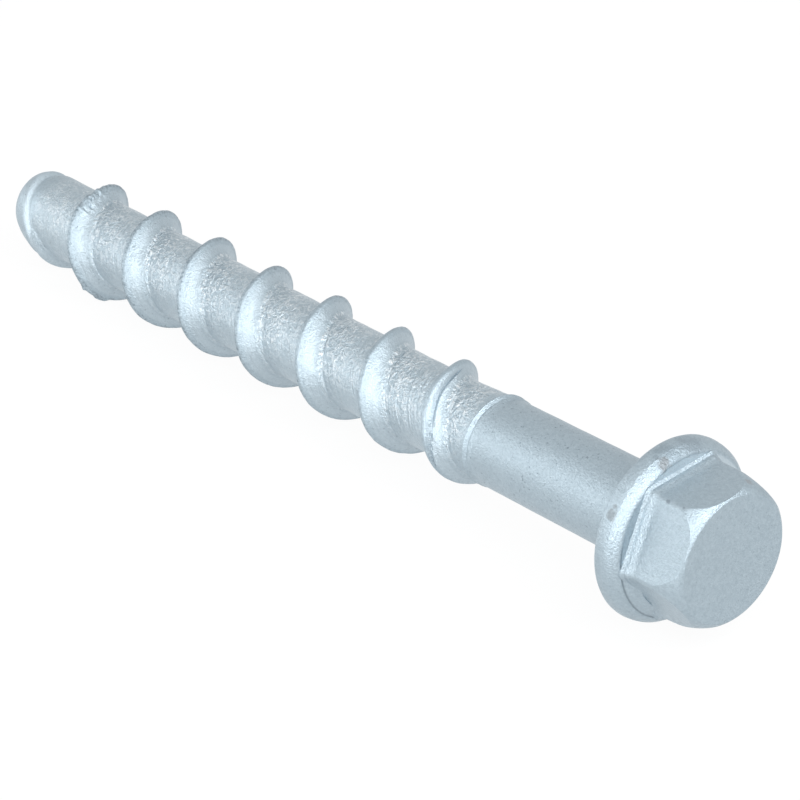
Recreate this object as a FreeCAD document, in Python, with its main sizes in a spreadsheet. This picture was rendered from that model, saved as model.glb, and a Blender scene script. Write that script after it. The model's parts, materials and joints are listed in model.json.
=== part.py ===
import FreeCAD, Part

import math
import os

import Sketcher
from FreeCAD import Placement, Rotation, Vector

# A hex flange head screw of the coarse self-tapping kind for masonry, made from one piece of wire: the head
# is forged, the thread is rolled. It is modelled upright about its own axis, with the face that bears on the
# work at height 0, the point above it and the head below it, and is then laid down as it rests on a table.
# Lengths are in millimetres and angles in degrees.

DIMENSIONS = {
    # Shank, core and point
    "under_head_length": 114.5,
    "shank_diameter": 9.8,
    "core_diameter": 9.5,
    "point_diameter": 10.15,
    "point_length": 8.0,
    "point_step": 1.5,
    "tip_face_diameter": 6.0,
    "tip_rounding_length": 4.1,
    # Ring that the rolling dies left where the thread stops
    "collar_diameter": 10.25,
    "collar_distance": 25.4,
    "collar_width": 0.6,
    "collar_slope": 0.9,
    # Thread ridge
    "thread_diameter": 12.9,
    "thread_pitch": 11.2,
    "thread_origin": 8.9,
    "ridge_point_flank": 2.1,
    "ridge_head_flank": 2.0,
    "ridge_crest_width": 0.6,
    "ridge_root_depth": 0.8,
    # Cone that cuts the thread down to the collar
    "run_out_start": 24.7,
    "run_out_cone_length": 7.9,
    # Lower first turn at the point, measured back from the end of the point
    "lead_in_diameter": 12.0,
    "lead_in_full": 11.3,
    "lead_in_shoulder": 10.1,
    "lead_in_end": 8.3,
    "lead_in_drop": 1.5,
    # Flange, with its edge by the work and its rim by the hexagon
    "flange_diameter": 20.0,
    "flange_height": 2.95,
    "flange_rim_height": 1.8,
    "flange_rim_draft": 0.15,
    "flange_edge_rounding": 0.8,
    "flange_cone_run": 0.7,
    "under_head_rounding": 0.6,
    # Hexagon, with the low step round its foot
    "across_flats": 15.0,
    "head_height": 9.8,
    "hex_corner_rounding": 0.9,
    "foot_step": 0.2,
    "foot_height": 1.1,
    "end_face_diameter": 13.6,
    "head_chamfer_length": 3.0,
    # How far the outlines that only cut reach past what they cut
    "cut_clearance": 2.0,
    # How the screw lies: the direction from its axis to the table, turned from a corner of the hexagon
    "lying_turn": -143.5,
}

# How closely the finished shape is sampled to find how it lies
SAMPLING = 0.02


class Size:
    """A length that holds its value and its formula on the sheet, so that sums of sizes stay bound to it."""

    def __init__(self, formula, value):
        self.formula = formula
        self.value = value

    def joined(self, sign, other, value):
        formula = other.formula if isinstance(other, Size) else repr(other)
        return Size(f"({self.formula} {sign} {formula})", value)

    def __add__(self, other):
        return self.joined("+", other, self.value + number(other))

    def __sub__(self, other):
        return self.joined("-", other, self.value - number(other))

    def __mul__(self, other):
        return self.joined("*", other, self.value * number(other))

    def __truediv__(self, other):
        return self.joined("/", other, self.value / number(other))

    def __neg__(self):
        return Size(f"(0 - {self.formula})", -self.value)


def number(size):
    """Return the value of a size, or the plain number itself."""
    return size.value if isinstance(size, Size) else size


def make_sheet(document):
    """Write every driving dimension into a spreadsheet, one row each, and return the sizes by name."""
    sheet = document.addObject("Spreadsheet::Sheet", "Dimensions")
    sizes = {}
    for row, (name, value) in enumerate(DIMENSIONS.items(), start=1):
        sheet.set(f"A{row}", name.replace("_", " "))
        sheet.set(f"B{row}", str(value))
        sheet.setAlias(f"B{row}", name)
        sizes[name] = Size(f"Dimensions.{name}", value)
    document.recompute()
    return sizes


def bind(thing, path, size):
    """Tie one property or constraint of an object to a size, or set it to a plain number."""
    thing.setExpression(path, size.formula if isinstance(size, Size) else repr(size))


def make_sketch(body, name, plane):
    """Add an empty sketch on one of the body's own origin planes."""
    sketch = body.newObject("Sketcher::SketchObject", name)
    support = next(f for f in body.Origin.OriginFeatures if f.Role == plane)
    sketch.AttachmentSupport = [(support, "")]
    sketch.MapMode = "FlatFace"
    return sketch


def pin_point(sketch, geometry, end, x, y):
    """Fix one end of a line or arc to its two distances from the sketch's origin."""
    origin = (-1, 1)
    for kind, size in (("DistanceX", x), ("DistanceY", y)):
        index = sketch.addConstraint(Sketcher.Constraint(kind, *origin, geometry, end, number(size)))
        bind(sketch, f"Constraints[{index}]", size)


def cosine(angle):
    """Return the cosine of an angle in degrees, exact where it is 0, 1 or a half."""
    return round(math.cos(math.radians(angle)), 12)


def arc_centre(begin, finish, radius, side):
    """Return the centre of the short arc from begin to finish that curves to one side."""
    half = (finish - begin) / 2
    reach = math.sqrt(max(radius * radius - half.Length ** 2, 0))
    left = Vector(-half.y, half.x, 0).normalize()
    return begin + half + left * (reach if side == "left" else -reach)


def draw_outline(sketch, corners):
    """Draw a closed outline. A corner is (x, y), or (x, y, radius, side) where it is left for the next corner by
    an arc that curves to the left or to the right."""
    points = [Vector(number(corner[0]), number(corner[1]), 0) for corner in corners]
    edges = []
    for index, corner in enumerate(corners):
        begin = points[index]
        finish = points[(index + 1) % len(points)]
        if len(corner) == 2:
            edges.append((sketch.addGeometry(Part.LineSegment(begin, finish)), 1, 2))
            continue
        radius, side = corner[2:]
        centre = arc_centre(begin, finish, number(radius), side)
        low, high = (begin, finish) if side == "left" else (finish, begin)
        angles = [math.atan2(end.y - centre.y, end.x - centre.x) for end in (low, high)]
        circle = Part.Circle(centre, Vector(0, 0, 1), number(radius))
        arc = sketch.addGeometry(Part.ArcOfCircle(circle, *angles))
        edges.append((arc, 1, 2) if side == "left" else (arc, 2, 1))
    for index, corner in enumerate(corners):
        geometry, start, end = edges[index]
        following, next_start, _ = edges[(index + 1) % len(edges)]
        sketch.addConstraint(Sketcher.Constraint("Coincident", geometry, end, following, next_start))
        pin_point(sketch, geometry, start, corner[0], corner[1])
        if len(corner) > 2:
            limit = sketch.addConstraint(Sketcher.Constraint("Radius", geometry, number(corner[2])))
            bind(sketch, f"Constraints[{limit}]", corner[2])


def turn(body, kind, name, sketch):
    """Revolve a sketch a full turn about the screw's axis, to add material or to cut it."""
    feature = body.newObject(kind, name)
    feature.Profile = sketch
    feature.ReferenceAxis = (sketch, ["V_Axis"])
    feature.Angle = 360
    sketch.Document.recompute()
    return feature


def add_thread_ridge(body, size):
    """Wind the ridge of the thread round the core, with both ends running on past where they are cut."""
    sketch = make_sketch(body, "ridge_section", "XZ_Plane")
    foot = size["core_diameter"] / 2 - size["ridge_root_depth"]
    crest = size["thread_diameter"] / 2
    widening = size["ridge_root_depth"] / (crest - size["core_diameter"] / 2) + 1
    half_crest = size["ridge_crest_width"] / 2
    first = size["thread_origin"] + size["thread_pitch"]
    last = size["under_head_length"] - size["lead_in_end"] + size["lead_in_drop"]
    draw_outline(sketch, [
        (foot, first - size["ridge_head_flank"] * widening),
        (crest, first - half_crest),
        (crest, first + half_crest),
        (foot, first + size["ridge_point_flank"] * widening),
    ])
    helix = body.newObject("PartDesign::AdditiveHelix", "thread_ridge")
    helix.Profile = sketch
    helix.ReferenceAxis = (sketch, ["V_Axis"])
    helix.Mode = "pitch-height-angle"
    bind(helix, "Pitch", size["thread_pitch"])
    bind(helix, "Height", last + size["ridge_head_flank"] * widening - first)
    body.Document.recompute()
    return helix


def cut_run_out(body, size):
    """Cut the ridge to a cone where it runs out into the collar."""
    sketch = make_sketch(body, "run_out_outline", "XZ_Plane")
    inside = size["core_diameter"] / 2 - size["ridge_root_depth"] / 2
    outside = size["thread_diameter"] / 2 + size["cut_clearance"]
    before = size["thread_origin"] + size["thread_pitch"] / 2
    draw_outline(sketch, [
        (inside, before),
        (outside, before),
        (outside, size["run_out_start"] + size["run_out_cone_length"]),
        (inside, size["run_out_start"]),
    ])
    return turn(body, "PartDesign::Groove", "run_out", sketch)


def cut_lead_in(body, size):
    """Cut the first turn lower by the point, then down to nothing where it starts."""
    sketch = make_sketch(body, "lead_in_outline", "XZ_Plane")
    length = size["under_head_length"]
    inside = size["core_diameter"] / 2 - size["ridge_root_depth"] / 2
    outside = size["thread_diameter"] / 2 + size["cut_clearance"]
    low = size["lead_in_diameter"] / 2
    beyond = length + size["thread_pitch"]
    draw_outline(sketch, [
        (outside, length - size["lead_in_full"]),
        (outside, beyond),
        (inside, beyond),
        (inside, length - size["lead_in_end"] + size["lead_in_drop"]),
        (low, length - size["lead_in_end"]),
        (low, length - size["lead_in_shoulder"]),
    ])
    return turn(body, "PartDesign::Groove", "lead_in", sketch)


def add_turned_form(body, size):
    """Add all that is round about the axis: the point, core, collar, shank and flange."""
    sketch = make_sketch(body, "turned_outline", "XZ_Plane")
    length = size["under_head_length"]
    core = size["core_diameter"] / 2
    shank = size["shank_diameter"] / 2
    point = size["point_diameter"] / 2
    tip = size["tip_face_diameter"] / 2
    collar = size["collar_diameter"] / 2
    flange = size["flange_diameter"] / 2
    rim_top = flange - size["flange_rim_draft"]
    edge = size["flange_edge_rounding"]
    fillet = size["under_head_rounding"]
    inset = point - tip
    rounding = size["tip_rounding_length"]
    tip_radius = (rounding * rounding / inset + inset) / 2
    near_collar = size["collar_distance"] - size["collar_width"] / 2
    far_collar = size["collar_distance"] + size["collar_width"] / 2
    point_start = length - size["point_length"]
    draw_outline(sketch, [
        (0, length),
        (0, -size["flange_height"]),
        (rim_top - size["flange_cone_run"], -size["flange_height"]),
        (rim_top, -size["flange_rim_height"]),
        (flange, -edge, edge, "left"),
        (flange - edge, 0),
        (shank + fillet, 0, fillet, "right"),
        (shank, fillet),
        (shank, near_collar - size["collar_slope"]),
        (collar, near_collar),
        (collar, far_collar),
        (core, far_collar + size["collar_slope"]),
        (core, point_start - size["point_step"]),
        (point, point_start),
        (point, length - rounding, tip_radius, "left"),
        (tip, length),
    ])
    return turn(body, "PartDesign::Revolution", "turned_form", sketch)


def add_hexagon(body, size, name, across_flats, height):
    """Stand a hexagon with rounded corners in the flange, one corner on the X axis, up to a height over the face
    that bears on the work."""
    sketch = make_sketch(body, f"{name}_outline", "XY_Plane")
    root = size["flange_rim_height"] / 2
    bind(sketch, "AttachmentOffset.Base.z", -root)
    corner = across_flats / math.sqrt(3)
    setback = size["hex_corner_rounding"] / math.sqrt(3)
    outline = []
    for angle in range(0, 360, 60):
        for side, arc in ((-120, (size["hex_corner_rounding"], "left")), (120, ())):
            x = corner * cosine(angle) + setback * cosine(angle + side)
            y = corner * cosine(angle - 90) + setback * cosine(angle + side - 90)
            outline.append((x, y, *arc))
    draw_outline(sketch, outline)
    pad = body.newObject("PartDesign::Pad", name)
    pad.Profile = sketch
    pad.Reversed = True
    bind(pad, "Length", height - root)
    body.Document.recompute()
    return pad


def cut_head_chamfer(body, size):
    """Round the hexagon's end down to the circle of its end face."""
    sketch = make_sketch(body, "chamfer_outline", "XZ_Plane")
    top = -size["head_height"]
    face = size["end_face_diameter"] / 2
    corner = size["across_flats"] / math.sqrt(3) - size["hex_corner_rounding"] * (2 / math.sqrt(3) - 1)
    inset = corner - face
    depth = size["head_chamfer_length"]
    radius = (depth * depth / inset + inset) / 2
    outside = corner + size["cut_clearance"]
    draw_outline(sketch, [
        (face, top, radius, "left"),
        (corner, top + depth),
        (outside, top + depth),
        (outside, top - size["cut_clearance"]),
        (face, top - size["cut_clearance"]),
    ])
    return turn(body, "PartDesign::Groove", "head_chamfer", sketch)


def resting_tilt(shape, size):
    """Return how far the axis leans from level when the flange's rim and the thread both touch the table."""
    down = Rotation(Vector(0, 0, 1), size["lying_turn"].value) * Vector(1, 0, 0)
    rim_radius = size["flange_diameter"].value / 2
    rim_place = -size["flange_edge_rounding"].value
    points = [point for point in shape.tessellate(SAMPLING)[0] if point.z > 0]
    return math.degrees(min(math.atan2(rim_radius - point * down, point.z - rim_place) for point in points))


def lay_down(body, size):
    """Lay the screw on the table, on its flange and on its first turn of thread, with the head towards +X, and
    put the origin on the table below the middle of it."""
    turned = Rotation(Vector(0, 0, 1), 180 - size["lying_turn"].value)
    tilted = Rotation(Vector(0, 1, 0), -90 - resting_tilt(body.Shape, size))
    body.Placement = Placement(Vector(), tilted * turned)
    points, _ = body.Shape.tessellate(SAMPLING)
    ends = [point.x for point in points]
    sides = [point.y for point in points]
    middle = Vector(min(ends) + max(ends), min(sides) + max(sides), 0) / 2
    lowest = Vector(0, 0, min(point.z for point in points))
    body.Placement.Base = -middle - lowest
    body.Document.recompute()


def make_screw(document, size):
    """Build the screw, feature by feature."""
    body = document.addObject("PartDesign::Body", "hex_flange_screw")
    body.Label = "hex_flange_screw"
    add_thread_ridge(body, size)
    cut_run_out(body, size)
    cut_lead_in(body, size)
    add_turned_form(body, size)
    foot_across = size["across_flats"] + size["foot_step"] * 2
    foot_top = size["flange_height"] + size["foot_height"]
    add_hexagon(body, size, "hexagon_foot", foot_across, foot_top)
    add_hexagon(body, size, "hexagon", size["across_flats"], size["head_height"])
    cut_head_chamfer(body, size)
    lay_down(body, size)
    return body


def check_document(document, parts):
    """Stop if an object failed, or if a part is not one valid solid."""
    for thing in document.Objects:
        if "Invalid" in thing.State or "Error" in thing.State:
            raise RuntimeError(f"{thing.Name} failed: {thing.State}")
    for part in parts:
        shape = part.Shape
        if shape.isNull() or not shape.isValid() or len(shape.Solids) != 1:
            raise RuntimeError(f"{part.Label} is not one valid solid")


document = FreeCAD.newDocument("hex_flange_screw")
screw = make_screw(document, make_sheet(document))
check_document(document, [screw])
os.makedirs("parts", exist_ok=True)
screw.Shape.exportStep(f"parts/{screw.Label}.step")
print(f"{screw.Label}: {screw.Shape.Volume:.1f} mm3, {len(screw.Shape.Faces)} faces, {screw.Shape.BoundBox}")
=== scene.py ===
import json
import math

import bpy
from mathutils import Euler, Matrix, Vector, noise


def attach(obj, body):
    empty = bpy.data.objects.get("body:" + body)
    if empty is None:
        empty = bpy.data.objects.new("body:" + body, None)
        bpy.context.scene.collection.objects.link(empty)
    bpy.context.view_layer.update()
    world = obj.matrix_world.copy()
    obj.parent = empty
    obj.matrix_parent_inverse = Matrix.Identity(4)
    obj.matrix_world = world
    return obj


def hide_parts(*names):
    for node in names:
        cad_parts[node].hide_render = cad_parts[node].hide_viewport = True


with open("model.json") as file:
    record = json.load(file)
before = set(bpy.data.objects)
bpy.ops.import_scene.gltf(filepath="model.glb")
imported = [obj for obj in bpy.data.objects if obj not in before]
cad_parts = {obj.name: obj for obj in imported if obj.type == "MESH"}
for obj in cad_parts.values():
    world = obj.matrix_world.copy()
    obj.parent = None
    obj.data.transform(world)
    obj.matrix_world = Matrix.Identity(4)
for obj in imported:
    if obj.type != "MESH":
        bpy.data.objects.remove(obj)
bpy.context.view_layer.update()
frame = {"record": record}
bpy.ops.object.select_all(action="DESELECT")

# Wire that the screw is made of: the blunt point, the core under the thread, the shank, and the flange forged
# on its end. It is one bar of steel, turned here as an outline about the screw's own axis. All forms are made
# in millimetres, with the flange's bearing face at height 0 and the point above it.
SHANK_RADIUS = 4.98
CORE_RADIUS = 4.75
FLANGE_RADIUS = 10.0
STEPS_ROUND = 132


def trace_outline(name, outline):
    """Draw an outline as one vertex that is extruded from corner to corner."""
    corners = [Vector((x, 0, z)) for x, z in outline]
    bpy.ops.mesh.primitive_plane_add(size=0.1)
    piece = bpy.context.object
    piece.name = name
    bpy.ops.object.mode_set(mode="EDIT")
    bpy.ops.mesh.merge(type="CENTER")
    bpy.ops.transform.translate(value=corners[0])
    for begin, end in zip(corners, corners[1:]):
        bpy.ops.mesh.extrude_vertices_move(TRANSFORM_OT_translate={"value": end - begin})
    return piece


def spin_outline(name, outline):
    """Turn an outline about the screw's axis into a closed form."""
    piece = trace_outline(name, outline)
    bpy.ops.mesh.select_all(action="SELECT")
    bpy.ops.mesh.spin(steps=STEPS_ROUND, angle=math.tau, center=(0, 0, 0), axis=(0, 0, 1))
    bpy.ops.mesh.select_all(action="SELECT")
    bpy.ops.mesh.remove_doubles(threshold=0.001)
    bpy.ops.mesh.normals_make_consistent(inside=False)
    bpy.ops.object.mode_set(mode="OBJECT")
    return piece


def stretch(begin, end, count):
    """List the corners of a straight run of an outline, without its end."""
    return [
        (begin[0] + (end[0] - begin[0]) * k / count, begin[1] + (end[1] - begin[1]) * k / count)
        for k in range(count)
    ]


point_outline = [
    (0, 113.35), (1.6, 113.32), (2.6, 113.25), (3.3, 113.15), (3.75, 113.03), (4.05, 112.88), (4.3, 112.62),
    (4.5, 112.32), (4.7, 112.03), (4.85, 111.7), (4.97, 111.3), (5.1, 110.9), (5.16, 110.7), (4.98, 110.2),
    (4.8, 109.6),
]
core_outline = stretch((4.78, 109.2), (CORE_RADIUS, 26.4), 138)
ring_outline = [
    (4.82, 25.6), (4.87, 25.27), (4.92, 25.18), (5.13, 25.08), (5.15, 25.0), (4.98, 24.78), (4.87, 24.6),
    (4.87, 24.45), (5.02, 24.33), (5.11, 24.24), (5.1, 24.12), (SHANK_RADIUS, 23.84),
]
shank_outline = stretch((SHANK_RADIUS, 23.2), (SHANK_RADIUS, 0.7), 36)
flange_outline = [
    (5.03, 0.42), (5.15, 0.18), (5.4, 0.02), (9.1, 0), (9.5, 0), (9.8, -0.12), (9.95, -0.4),
    (FLANGE_RADIUS, -0.8), (9.94, -1.35), (9.86, -1.7), (9.8, -1.86), (9.48, -2.35), (9.25, -2.66),
    (9.1, -2.8), (8.95, -2.87), (8.88, -2.88), (8.82, -2.88), (8.6, -2.91), (8.4, -2.93), (8.2, -2.95),
    (8.0, -2.97), (7.7, -3.0), (0, -3.02),
]
wire = spin_outline("wire", point_outline + core_outline + ring_outline + shank_outline + flange_outline)


def blend_between(low, high, value):
    """Rise smoothly from 0 at low to 1 at high."""
    share = min(max((value - low) / (high - low), 0), 1)
    return share * share * (3 - 2 * share)


def near(place, middle, reach):
    """Fall smoothly from 1 at the middle to 0 at the reach on either side of it."""
    return 1 - blend_between(0, reach, abs(place - middle))


# The dies leave the core a little wavy, raise the ring more on one side, press a low step round the point that
# follows the thread, and let the flange's face climb to the hexagon on one side. Sides are angles about the
# axis, and the first two are the upper and the lower edge of the screw in the photo.
UPPER_EDGE = math.radians(75)
LOWER_EDGE = math.radians(-100)
CLIMBING_SIDE = math.radians(-90)
RING_HEIGHT = 25.0
STEP_PHASE = math.radians(15.5)
CONE_FOOT_RADIUS = 8.85
for vertex in wire.data.vertices:
    x, y, z = vertex.co
    radius = math.hypot(x, y)
    angle = math.atan2(y, x)
    if radius < 0.01:
        continue
    raised = 0
    upper = near(angle, UPPER_EDGE, 1.6)
    if 25.3 < z < 109:
        raised = 0.07 * noise.noise(Vector((x, y, z)) * 0.45) + 0.1 * (1 - blend_between(27.0, 32.0, z))
        thicker = 0.12 * blend_between(89, 95, z) + 0.1 * blend_between(102, 106, z)
        raised += thicker * (0.3 + 0.7 * upper)
    if 22 < z < 26.5:
        uneven = 0.1 * near(angle, UPPER_EDGE, 1.0) + 0.03 * noise.noise(Vector((x, y, z)) * 0.8)
        raised += near(z, RING_HEIGHT, 1.6) * uneven
    if 0 < z < 22:
        raised = 0.02 * noise.noise(Vector((x, y, z)) * 0.5)
    if z > 109.5:
        raised = (0.4 * near(angle, LOWER_EDGE, 1.1) - 0.2 * upper) * (1 - blend_between(110.5, 112.5, z))
    if z > 103:
        followed = blend_between(103.0, 107.5, z) * (1 - blend_between(109.8, 113.3, z))
        askew = blend_between(109.9, 113.3, z)
        z += (2.0 * math.sin(angle + STEP_PHASE) - 0.48) * followed + (0.09 * x + 0.11 * y) * askew
        x -= 0.14 * askew
        y -= 0.05 * askew
    if -3.01 < z < -2.85 and 7.5 < radius < CONE_FOOT_RADIUS:
        z -= 0.8 * (CONE_FOOT_RADIUS - radius) * min(2 * near(angle, CLIMBING_SIDE, 0.6), 1)
    vertex.co = (x * (radius + raised) / radius, y * (radius + raised) / radius, z)


# Thread: a ridge that the rolling dies squeeze up out of the wire, wound round it to the right. Its crest is
# narrow, and its side towards the head has two facets, a narrow one under the crest and a steeper one down to
# the core. It starts low at the point and runs out at the ring that the dies leave on the shank.
PITCH = 11.2
FIRST_TURN = 20.1
TURNS = 8
STEPS_PER_TURN = 144
ROOT = 4.3
FACET_EDGE = -0.42
ridge_section = [
    (ROOT, -2.2), (4.5, -2.0), (4.75, -1.75), (4.92, -1.58), (5.08, -1.42), (5.24, -1.25), (5.4, -1.09),
    (5.5, -1.02), (5.65, -0.91), (5.8, -0.8), (5.95, -0.69), (6.1, -0.58), (6.22, -0.5), (6.33, FACET_EDGE),
    (6.4, -0.32), (6.44, -0.22), (6.46, -0.1), (6.46, 0.02), (6.44, 0.12), (6.36, 0.25), (6.2, 0.4),
    (5.98, 0.56), (5.7, 0.75), (5.4, 0.95), (5.1, 1.15), (4.8, 1.36), (4.5, 1.58), (ROOT, 1.75), (ROOT, -2.2),
]
ridge = trace_outline("ridge", [(x, FIRST_TURN + z) for x, z in ridge_section])
bpy.ops.mesh.select_all(action="SELECT")
bpy.ops.mesh.remove_doubles(threshold=0.001)
bpy.ops.object.mode_set(mode="OBJECT")
winding = ridge.modifiers.new("winding", "SCREW")
winding.angle = math.tau
winding.screw_offset = PITCH
winding.iterations = TURNS
winding.steps = STEPS_PER_TURN
winding.render_steps = STEPS_PER_TURN
bpy.ops.object.modifier_apply(modifier="winding")
bpy.ops.object.mode_set(mode="EDIT")
bpy.ops.mesh.select_all(action="SELECT")
bpy.ops.mesh.fill_holes(sides=0)
bpy.ops.mesh.select_all(action="SELECT")
bpy.ops.mesh.normals_make_consistent(inside=False)
bpy.ops.object.mode_set(mode="OBJECT")

# Rolled steel folds where it has no room. The last turn has a thin lip that a groove splits off, the first
# one is crumpled for a short way and has a knob, and a fine seam runs under the crest of all turns on the
# lower side.
for vertex in ridge.data.vertices:
    x, y, z = vertex.co
    radius = math.hypot(x, y)
    angle = math.atan2(y, x)
    turn = angle / math.tau
    along = FIRST_TURN + PITCH * (turn + round((z - FIRST_TURN) / PITCH - turn))
    beside = z - along

    # The ridge's height, as a share of the section's, from the run-out at the ring to the start at the point.
    height = blend_between(23.8, 28.7, along) * (0.93 + 0.07 * blend_between(33.0, 38.0, along))
    height *= (1 + 0.1 * blend_between(40.0, 100.0, along)) * (1 - 0.28 * blend_between(102.8, 104.6, along))
    height = max(height - 0.7 * blend_between(106.4, 108.8, along), 0.05)

    # Unevenness, the groove beside the lip, the crumpled spot, the seam and the knob, outwards from the axis.
    rough = noise.noise(Vector((x, y, z)) * 1.4)
    change = 0.05 * noise.noise(Vector((x, y, z)) * 0.5) + 0.03 * rough
    lip = blend_between(27.9, 29.0, along) * (1 - blend_between(32.3, 33.2, along))
    change -= 0.45 * lip * near(beside, -0.1 - 0.6 * blend_between(27.8, 30.6, along), 0.17)
    crumpled = blend_between(98.2, 98.8, along) * (1 - blend_between(99.7, 100.3, along))
    crumpled *= near(beside, -0.4, 1.3)
    change += crumpled * (0.4 * noise.noise(Vector((x * 2.6, y * 2.6, z * 0.9))) - 0.04)
    seam = near(angle, math.radians(-70), 0.75) * near(beside, -0.78, 0.16)
    change -= 0.09 * seam
    lumps = 0.6 * max(noise.noise(Vector((x, y, z)) * 1.3), 0) * near(beside, -0.2, 0.9)
    change += near(along, 95.4, 1.0) * (0.25 + lumps)
    raised = ROOT + (radius - ROOT) * height
    if radius > ROOT + 0.05:
        raised += change * height

    # The lower facet spreads towards the head on the near side, and the ridge wavers beside its even helix by
    # up to half a millimetre, in nearly the same way in each turn.
    if beside < FACET_EDGE:
        z += (beside - FACET_EDGE) * 0.85 * near(angle, math.radians(-35), 1.75)
    z += (0.25 + 0.4 * blend_between(88, 97, along)) * near(angle, math.radians(115), 0.8)
    z -= 0.33 * near(angle, math.radians(36), 0.8)
    fuller = 0.06 * near(angle, math.radians(73), 0.4) - 0.06 * near(angle, math.radians(30), 0.5)
    raised += height * fuller
    raised -= height * 0.08 * near(angle, math.radians(120), 0.6)
    z += 0.35 * (1 - blend_between(33.6, 38.0, along))
    middle_turns = blend_between(36, 44, along) * (1 - blend_between(90, 97, along))
    z -= 0.5 * near(angle, math.radians(-25), 1.6) * middle_turns
    vertex.co = (x * raised / radius, y * raised / radius, z)


# Head: a hexagon of 15 mm across flats, forged in one with the flange. A low step and a hollow run round its
# foot, its corners are slightly rounded, and a domed chamfer, a little off centre, brings its end down to a
# flat round face.
ACROSS_FLATS = 15.0
FOOT_ACROSS = 16.0
HEAD_HEIGHT = 9.8
CORNER_BEVEL = 0.42
CHAMFER_SHIFT = (0.3, 0.04, 0)
bpy.ops.mesh.primitive_circle_add(
    vertices=6, radius=ACROSS_FLATS / math.sqrt(3), fill_type="NGON", location=(0, 0, -1.5),
)
hexagon = bpy.context.object
hexagon.name = "hexagon"
bpy.ops.object.transform_apply()
corner = hexagon.data.vertices[0].co
hexagon.data.transform(Matrix.Rotation(-math.atan2(corner.y, corner.x), 4, "Z"))
bpy.ops.object.mode_set(mode="EDIT")
bpy.ops.mesh.select_all(action="SELECT")
bpy.ops.transform.resize(value=[FOOT_ACROSS / ACROSS_FLATS] * 2 + [1], center_override=(0, 0, 0))
across = FOOT_ACROSS
for next_across, height in (
    (FOOT_ACROSS, -2.97), (15.5, -3.22), (15.4, -3.5), (15.36, -3.62), (15.02, -4.05), (14.98, -4.4),
    (14.72, -HEAD_HEIGHT - 1),
):
    bpy.ops.object.mode_set(mode="OBJECT")
    level = min(vertex.co.z for vertex in hexagon.data.vertices)
    bpy.ops.object.mode_set(mode="EDIT")
    bpy.ops.mesh.extrude_region_move(TRANSFORM_OT_translate={"value": (0, 0, height - level)})
    bpy.ops.transform.resize(value=[next_across / across] * 2 + [1], center_override=(0, 0, height))
    across = next_across
bpy.ops.mesh.select_all(action="SELECT")
bpy.ops.mesh.normals_make_consistent(inside=False)
bpy.ops.mesh.select_mode(type="EDGE")
bpy.ops.mesh.select_all(action="DESELECT")
bpy.ops.object.mode_set(mode="OBJECT")
for edge in hexagon.data.edges:
    begin, end = (hexagon.data.vertices[index].co for index in edge.vertices)
    edge.select = abs(begin.z - end.z) > 0.1
bpy.ops.object.mode_set(mode="EDIT")
bpy.ops.mesh.bevel(offset=CORNER_BEVEL, segments=5, affect="EDGES")
bpy.ops.mesh.select_mode(type="VERT")
bpy.ops.object.mode_set(mode="OBJECT")

dome = spin_outline("dome", [
    (0, -HEAD_HEIGHT), (6.92, -HEAD_HEIGHT), (7.06, -9.72), (7.17, -9.6), (7.33, -9.46), (7.48, -9.27),
    (7.63, -9.0), (7.78, -8.68), (7.92, -8.33), (8.06, -7.93), (8.2, -7.4), (8.34, -6.8), (8.45, -6.1),
    (8.53, -5.4), (8.59, -4.6), (8.63, -3.8), (9.6, -3.1), (9.6, -1.2), (0, -1.2),
])
bpy.ops.transform.translate(value=CHAMFER_SHIFT)
bpy.ops.object.transform_apply()


def combine(piece, tool, operation):
    """Cut a piece with another, or join the two into one skin."""
    bpy.ops.object.select_all(action="DESELECT")
    bpy.context.view_layer.objects.active = piece
    joint = piece.modifiers.new(operation.lower(), "BOOLEAN")
    joint.operation = operation
    joint.solver = "EXACT"
    joint.object = tool
    bpy.ops.object.modifier_apply(modifier=joint.name)
    bpy.data.objects.remove(tool)


combine(hexagon, dome, "INTERSECT")
combine(wire, hexagon, "UNION")
combine(wire, ridge, "UNION")


# The whole screw is laid on the table as the solid lies, on its flange and on the first turn of its thread.
# Edges sharper than 24 degrees stay crisp, and the rest is smooth.
MOUNTS = {mount["name"]: Vector(mount["pos_m"]) for mount in frame["record"]["mounts"]}
BEARING = MOUNTS["under_head"]
AXIS_LEAN = math.radians(-92.1376)
AXIS_TURN = math.radians(323.5)
turned = Euler((0, AXIS_LEAN, 0)).to_matrix() @ Euler((0, 0, AXIS_TURN)).to_matrix()
laid = Matrix.Translation(BEARING) @ turned.to_4x4() @ Matrix.Scale(0.001, 4)
screw = wire
screw.name = "screw"
screw.data.transform(laid)
bpy.ops.object.select_all(action="DESELECT")
screw.select_set(True)
bpy.context.view_layer.objects.active = screw
bpy.ops.object.shade_smooth_by_angle(angle=math.radians(24))
weighting = screw.modifiers.new("weighting", "WEIGHTED_NORMAL")
weighting.keep_sharp = True
bpy.ops.object.modifier_apply(modifier="weighting")


# Zinc coating of the whole screw. Flakes of zinc are baked on, or zinc is plated on in a tumbling barrel,
# which leaves a matte blue-grey metal that is mottled and finely pitted, with a softer shine than bare steel.
def linear(hex_colour):
    """Turn an sRGB hex colour into the linear colour that Blender works with."""
    channels = [int(hex_colour[i:i + 2], 16) / 255 for i in (1, 3, 5)]
    return [c / 12.92 if c <= 0.04045 else ((c + 0.055) / 1.055) ** 2.4 for c in channels] + [1.0]


def add_node(tree, kind, settings=None, inputs=None, links=None):
    """Add a node, set its properties and input values, and link outputs of other nodes into it."""
    node = tree.nodes.new(kind)
    for name, value in (settings or {}).items():
        setattr(node, name, value)
    for name, value in (inputs or {}).items():
        node.inputs[name].default_value = value
    for name, output in (links or {}).items():
        tree.links.new(output, node.inputs[name])
    return node


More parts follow.
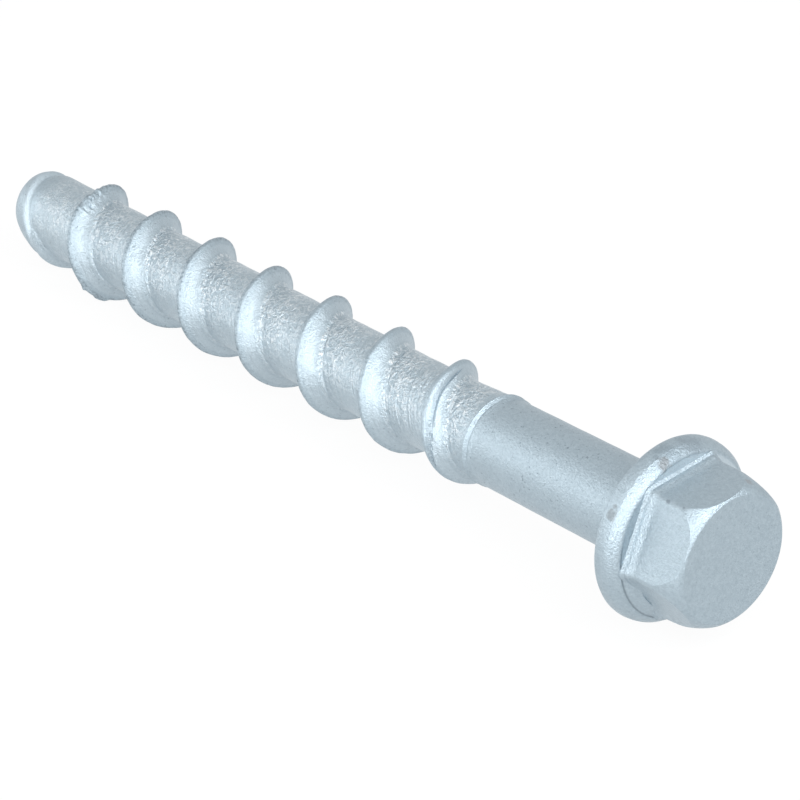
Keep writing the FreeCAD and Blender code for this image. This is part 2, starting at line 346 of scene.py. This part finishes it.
zinc = bpy.data.materials.new("zinc_coated_steel")
zinc.use_nodes = True
tree = zinc.node_tree
tree.nodes.clear()

# Places on the screw, in its own millimetres: the distance from the axis, the height, how far up a place is
# as the screw lies, and the height above a slanted plane, which the step round the point follows.
place = add_node(tree, "ShaderNodeTexCoord").outputs["Object"]
own = add_node(
    tree, "ShaderNodeMapping", {"vector_type": "TEXTURE"},
    {"Location": BEARING, "Rotation": turned.to_euler(), "Scale": (0.001, 0.001, 0.001)}, {"Vector": place},
).outputs["Vector"]
parts = add_node(tree, "ShaderNodeSeparateXYZ", links={"Vector": own}).outputs
height, sideways = parts["Z"], parts["Y"]
flat = add_node(tree, "ShaderNodeCombineXYZ", links={"X": parts["X"], "Y": sideways}).outputs["Vector"]
radius = add_node(tree, "ShaderNodeVectorMath", {"operation": "LENGTH"}, links={0: flat}).outputs["Value"]
upward = add_node(
    tree, "ShaderNodeVectorMath", {"operation": "DOT_PRODUCT"}, {1: (0.77, 0.64, 0)}, {0: own},
).outputs["Value"]
slanted = add_node(
    tree, "ShaderNodeVectorMath", {"operation": "DOT_PRODUCT"}, {1: (-0.1026, -0.37, 1)}, {0: own},
).outputs["Value"]

# The thread's own coordinates, turned back along the helix, so that a pattern runs with the rolled steel.
# Flow lines are four times as long as they are wide.
phase = add_node(
    tree, "ShaderNodeMath", {"operation": "MULTIPLY_ADD"},
    {1: -math.tau / PITCH, 2: math.tau * (FIRST_TURN - PITCH) / PITCH}, {0: height},
).outputs[0]
wound = add_node(
    tree, "ShaderNodeVectorRotate", {"rotation_type": "Z_AXIS"}, links={"Vector": own, "Angle": phase},
).outputs["Vector"]
drawn = add_node(
    tree, "ShaderNodeMapping", inputs={"Scale": (1, 1, 0.25)}, links={"Vector": wound},
).outputs["Vector"]
beside = add_node(tree, "ShaderNodeSeparateXYZ", links={"Vector": wound}).outputs["Y"]

# Patterns of the coating and of the steel under it. The first number is how many grains go in a millimetre:
# the zinc's own grain is too fine to show in the render, and is drawn 0.2 to 0.4 mm wide. Then come the
# detail, the roughness and the distortion.
patterns = {}
for name, grains_per_mm, detail, roughness, distortion, coordinates in (
    ("mottle", 2.6, 6, 0.8, 0.0, own),
    ("speck", 3.2, 2, 0.6, 0.0, own),
    ("cloud", 0.22, 2, 0.5, 0.0, own),
    ("ragged", 1.6, 4, 0.7, 0.0, own),
    ("grain", 4.5, 3, 0.6, 0.0, own),
    ("swirl", 0.8, 2, 0.5, 0.5, own),
    ("peel", 2.4, 3, 0.6, 0.6, own),
    ("flow", 1.1, 3, 0.6, 0.0, drawn),
):
    patterns[name] = add_node(
        tree, "ShaderNodeTexNoise",
        inputs={"Scale": grains_per_mm, "Detail": detail, "Roughness": roughness, "Distortion": distortion},
        links={"Vector": coordinates},
    ).outputs["Fac"]
waves = add_node(tree, "ShaderNodeMath", {"operation": "MULTIPLY"}, {1: 30.0}, {0: patterns["swirl"]})
ripple = add_node(tree, "ShaderNodeMath", {"operation": "SINE"}, links={0: waves.outputs[0]}).outputs[0]

# Where each finish lies. A row has a name, the finish that it lies within, and its soft limits, which are
# multiplied. Each limit reads a value, and leads from its third number at the first to its fourth at the
# second.
finishes = {}
for name, within, limits in (
    # The ribbed length, the core between the ribs, and the wrinkles on it, which are strongest under a rib's
    # side towards the head and where the screw faces up.
    ("ribbed", None, [(height, 24.5, 27.5, 0, 1), (height, 107.0, 109.0, 1, 0)]),
    # The core is also tinted lighter in the colour below: painted light for the sparkle that its wrinkles
    # catch.
    ("core", "ribbed", [(radius, 4.95, 5.2, 1, 0)]),
    ("wrinkled", "core", [
        (beside, -4.5, 0.0, 0.6, 1), (upward, -1.5, 3.0, 0.25, 1), (height, 102.0, 105.0, 1, 0.55),
    ]),
    # Ripples and folds: the tops of the wrinkles, where painted highlights go.
    ("ripples", "wrinkled", [(ripple, 0.2, 1.0, 0, 0.5)]),
    ("folds", "wrinkled", [(patterns["peel"], 0.54, 0.68, 0, 1)]),
    # Pits, in patches, and fewer on the head.
    ("pits", None, [
        (patterns["speck"], 0.62, 0.72, 0, 1), (patterns["cloud"], 0.35, 0.65, 0.4, 1),
        (height, -2.0, 1.0, 0.4, 1),
    ]),
    # A painted highlight on the rib's facets, a darker speckled band along its crest, and the step round the
    # point with its bright rim.
    ("facets", "ribbed", [(radius, 5.1, 5.3, 0, 1), (radius, 5.9, 6.15, 1, 0)]),
    ("crest", "ribbed", [(radius, 6.3, 6.6, 0, 1), (patterns["speck"], 0.4, 0.62, 0.05, 0.6)]),
    ("step", None, [(slanted, 109.0, 110.2, 0, 1)]),
    ("rim", None, [(slanted, 109.1, 109.5, 0, 1), (slanted, 110.1, 110.5, 1, 0)]),
    # The flange's flat face beside the hexagon's foot, lightened with painted light, more on one side, and
    # painted shade along the crease round it, more on the other side.
    ("face", None, [
        (radius, 8.75, 8.95, 1, 0), (height, -3.0, -2.96, 0, 1), (height, -2.6, -2.4, 1, 0),
        (sideways, -2.0, 3.0, 0.1, 0.55),
    ]),
    ("crease", None, [
        (radius, 8.68, 8.8, 0, 1), (radius, 8.86, 8.98, 1, 0), (height, -3.1, -2.9, 0, 1),
        (sideways, -6.5, -4.5, 0.55, 0),
    ]),
):
    finish = finishes.get(within)
    for value, low, high, first, last in limits:
        limit = add_node(
            tree, "ShaderNodeMapRange", {"interpolation_type": "SMOOTHSTEP"},
            {"From Min": low, "From Max": high, "To Min": first, "To Max": last}, {"Value": value},
        ).outputs["Result"]
        if finish is not None:
            links = {0: finish, 1: limit}
            limit = add_node(tree, "ShaderNodeMath", {"operation": "MULTIPLY"}, links=links).outputs[0]
        finish = limit
    finishes[name] = finish
# Painted highlights: a near-white tint on the tops of the ripples and folds stands in for the glints that they
# catch.
finishes["painted_glints"] = add_node(
    tree, "ShaderNodeMath", {"operation": "MAXIMUM"}, links={0: finishes["ripples"], 1: finishes["folds"]},
).outputs[0]

# Colour: zinc grain, and layers over it, each with the share that it covers. The pits come first, then scuffs
# where the coating has rubbed off on the rim, the cone and the hexagon, each with its place, reach and colour.
# Last come tints by finish, several of them painted light and shade: painted light that lifts the core for the
# sparkle of its wrinkles, painted highlights on the rib's facets and on the tops of the core's ripples and
# folds, painted light on the flange's face beside the hexagon, and painted shade along the crease round it.
tone = add_node(tree, "ShaderNodeValToRGB", links={"Fac": patterns["mottle"]})
for stop, position, hex_colour in zip(tone.color_ramp.elements, (0.3, 0.7), ("#9babb5", "#b4c3cc")):
    stop.position = position
    stop.color = linear(hex_colour)
layers = [(finishes["pits"], "#788690")]
for scuff_place, reach, hex_colour in (
    ((9.1, -4.0, -1.3), 0.7, "#8b949a"), ((9.4, -3.2, -1.2), 0.3, "#8b949a"),
    ((8.6, 2.1, -2.4), 0.4, "#858b90"), ((8.4, 4.1, -2.4), 2.1, "#93a2ac"),
    ((8.8, 3.1, -2.4), 0.8, "#7d8286"), ((6.8, 6.9, -2.3), 1.6, "#96a4ae"),
    ((4.2, 6.5, -8.6), 0.5, "#9da4aa"), ((8.5, 0.0, -5.5), 0.3, "#84909a"),
    ((8.3, 0.1, -7.4), 0.25, "#84909a"),
):
    away = add_node(
        tree, "ShaderNodeVectorMath", {"operation": "DISTANCE"}, {1: scuff_place}, {0: own},
    ).outputs["Value"]
    edge = add_node(
        tree, "ShaderNodeMath", {"operation": "MULTIPLY_ADD"},
        {1: 2.4 * reach}, {0: patterns["ragged"], 2: away},
    ).outputs[0]
    rubbed = add_node(
        tree, "ShaderNodeMapRange", {"interpolation_type": "SMOOTHSTEP"},
        {"From Min": 1.7 * reach, "From Max": 2.3 * reach, "To Min": 0.8, "To Max": 0.0}, {"Value": edge},
    ).outputs["Result"]
    layers.append((rubbed, hex_colour))
for name, strength, hex_colour in (
    ("core", 0.2, "#c3d2da"), ("facets", 0.18, "#d3dfe6"), ("rim", 0.25, "#d3dfe6"),
    ("crest", 1.0, "#74828c"), ("face", 1.0, "#d3dfe6"), ("crease", 1.0, "#5f6c76"),
    ("painted_glints", 0.7, "#f6fafc"),
):
    cover = add_node(tree, "ShaderNodeMath", {"operation": "MULTIPLY"}, {1: strength}, {0: finishes[name]})
    layers.append((cover.outputs[0], hex_colour))
coat = tone.outputs["Color"]
for cover, hex_colour in layers:
    coat = add_node(
        tree, "ShaderNodeMix", {"data_type": "RGBA"}, {"B": linear(hex_colour)}, {"Factor": cover, "A": coat},
    ).outputs["Result"]

# Relief: fine grain everywhere, ripples and folds pressed into the core, the step round the point, and broad
# flow lines along the thread. The wrinkles are rubbed a little smoother than the rest.
softened = add_node(tree, "ShaderNodeMath", {"operation": "MULTIPLY"}, {1: 0.6}, {0: finishes["wrinkled"]})
faint = add_node(tree, "ShaderNodeMath", {"operation": "MULTIPLY"}, {1: 0.3}, {0: finishes["core"]})
folded, roughness = (
    add_node(
        tree, "ShaderNodeMapRange", {"interpolation_type": "SMOOTHSTEP"},
        {"To Min": plain, "To Max": wrinkled}, {"Value": finishes["wrinkled"]},
    ).outputs["Result"]
    for plain, wrinkled in ((0.12, 0.58), (0.42, 0.36))
)
grained = add_node(
    tree, "ShaderNodeBump", inputs={"Strength": 0.3, "Distance": 0.0004}, links={"Height": patterns["grain"]},
).outputs["Normal"]
rippled = add_node(
    tree, "ShaderNodeBump", inputs={"Distance": 0.00003},
    links={"Strength": softened.outputs[0], "Height": ripple, "Normal": grained},
).outputs["Normal"]
pressed = add_node(
    tree, "ShaderNodeBump", inputs={"Distance": 0.0005},
    links={"Strength": folded, "Height": patterns["peel"], "Normal": rippled},
).outputs["Normal"]
stepped = add_node(
    tree, "ShaderNodeBump", inputs={"Distance": 0.00045},
    links={"Height": finishes["step"], "Normal": pressed},
).outputs["Normal"]
rolled = add_node(
    tree, "ShaderNodeBump", inputs={"Distance": 0.0012},
    links={"Strength": faint.outputs[0], "Height": patterns["flow"], "Normal": stepped},
).outputs["Normal"]
shader = add_node(
    tree, "ShaderNodeBsdfPrincipled", inputs={"Metallic": 0.85},
    links={"Base Color": coat, "Roughness": roughness, "Normal": rolled},
)
add_node(tree, "ShaderNodeOutputMaterial", links={"Surface": shader.outputs["BSDF"]})
screw.data.materials.clear()
screw.data.materials.append(zinc)
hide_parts("hex_flange_screw")
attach(screw, "root")


# White paper under and behind the screw, as in a product photo. The camera and shiny surfaces see it plain
# white, with only a soft trace of the shadow.
WHITE_SHARE = 0.94
bpy.ops.object.select_all(action="DESELECT")
bpy.ops.mesh.primitive_plane_add(size=3, location=(0, 0, 0))
paper = bpy.context.object
paper.name = "paper"
white = bpy.data.materials.new("white_paper")
white.use_nodes = True
tree = white.node_tree
tree.nodes.clear()
rays = add_node(tree, "ShaderNodeLightPath").outputs
seen = add_node(
    tree, "ShaderNodeMath", {"operation": "MAXIMUM"},
    links={0: rays["Is Camera Ray"], 1: rays["Is Glossy Ray"]},
)
share = add_node(tree, "ShaderNodeMath", {"operation": "MULTIPLY"}, {1: WHITE_SHARE}, {0: seen.outputs[0]})
power = add_node(
    tree, "ShaderNodeMath", {"operation": "MULTIPLY_ADD"}, {1: 1 - WHITE_SHARE, 2: WHITE_SHARE},
    {0: rays["Is Camera Ray"]},
)
surface = add_node(tree, "ShaderNodeBsdfDiffuse", inputs={"Color": linear("#f4f4f4")})
glow = add_node(
    tree, "ShaderNodeEmission", inputs={"Color": linear("#ffffff")}, links={"Strength": power.outputs[0]},
)
mixed = add_node(
    tree, "ShaderNodeMixShader", links={0: share.outputs[0], 1: surface.outputs[0], 2: glow.outputs[0]},
)
add_node(tree, "ShaderNodeOutputMaterial", links={"Surface": mixed.outputs[0]})
paper.data.materials.append(white)


# Studio light: a soft box above the camera, weaker ones in front and to the left, one behind the screw, and
# even light from all round, which the camera sees as plain white.
world = bpy.data.worlds.new("studio")
bpy.context.scene.world = world
world.use_nodes = True
tree = world.node_tree
tree.nodes.clear()
rays = add_node(tree, "ShaderNodeLightPath").outputs
even = add_node(tree, "ShaderNodeBackground", inputs={"Color": linear("#ffffff"), "Strength": 0.78})
plain = add_node(tree, "ShaderNodeBackground", inputs={"Color": linear("#ffffff"), "Strength": 1.0})
mixed = add_node(
    tree, "ShaderNodeMixShader", links={0: rays["Is Camera Ray"], 1: even.outputs[0], 2: plain.outputs[0]},
)
add_node(tree, "ShaderNodeOutputWorld", links={"Surface": mixed.outputs[0]})


SCREW_MIDDLE = Vector((0.0065, 0.0037, 0.0041))


def add_soft_box(name, place, width, power):
    """Hang a square soft box at a place, turned to the middle of the screw."""
    light = bpy.data.lights.new(name, "AREA")
    light.size = width
    light.energy = power
    box = bpy.data.objects.new(name, light)
    box.location = place
    box.rotation_euler = (SCREW_MIDDLE - Vector(place)).to_track_quat("-Z", "Y").to_euler()
    bpy.context.collection.objects.link(box)


add_soft_box("key_box", (0.283, -0.245, 0.339), 0.29, 0.95)
add_soft_box("front_box", (0.174, -0.456, 0.108), 0.2, 0.86)
add_soft_box("left_box", (-0.391, -0.275, 0.125), 0.24, 0.55)
add_soft_box("back_box", (0.355, 0.065, 0.358), 0.29, 1.15)

# Camera, as far from the screw and as high as the photo was taken from.
CAMERA_PLACE = (0.21927, -0.17644, 0.15469)
CAMERA_VIEW = Vector((-0.6713, 0.56863, -0.4754))
CAMERA_ROLL = math.radians(0.27)
camera = bpy.data.objects.new("camera", bpy.data.cameras.new("camera"))
camera.location = CAMERA_PLACE
camera.rotation_euler = CAMERA_VIEW.to_track_quat("-Z", "Y").to_euler()
camera.rotation_euler.rotate_axis("Z", CAMERA_ROLL)
camera.data.lens = 125.475
camera.data.clip_start = 0.01
bpy.context.collection.objects.link(camera)
bpy.context.scene.camera = camera
bpy.context.scene.view_settings.view_transform = "Standard"
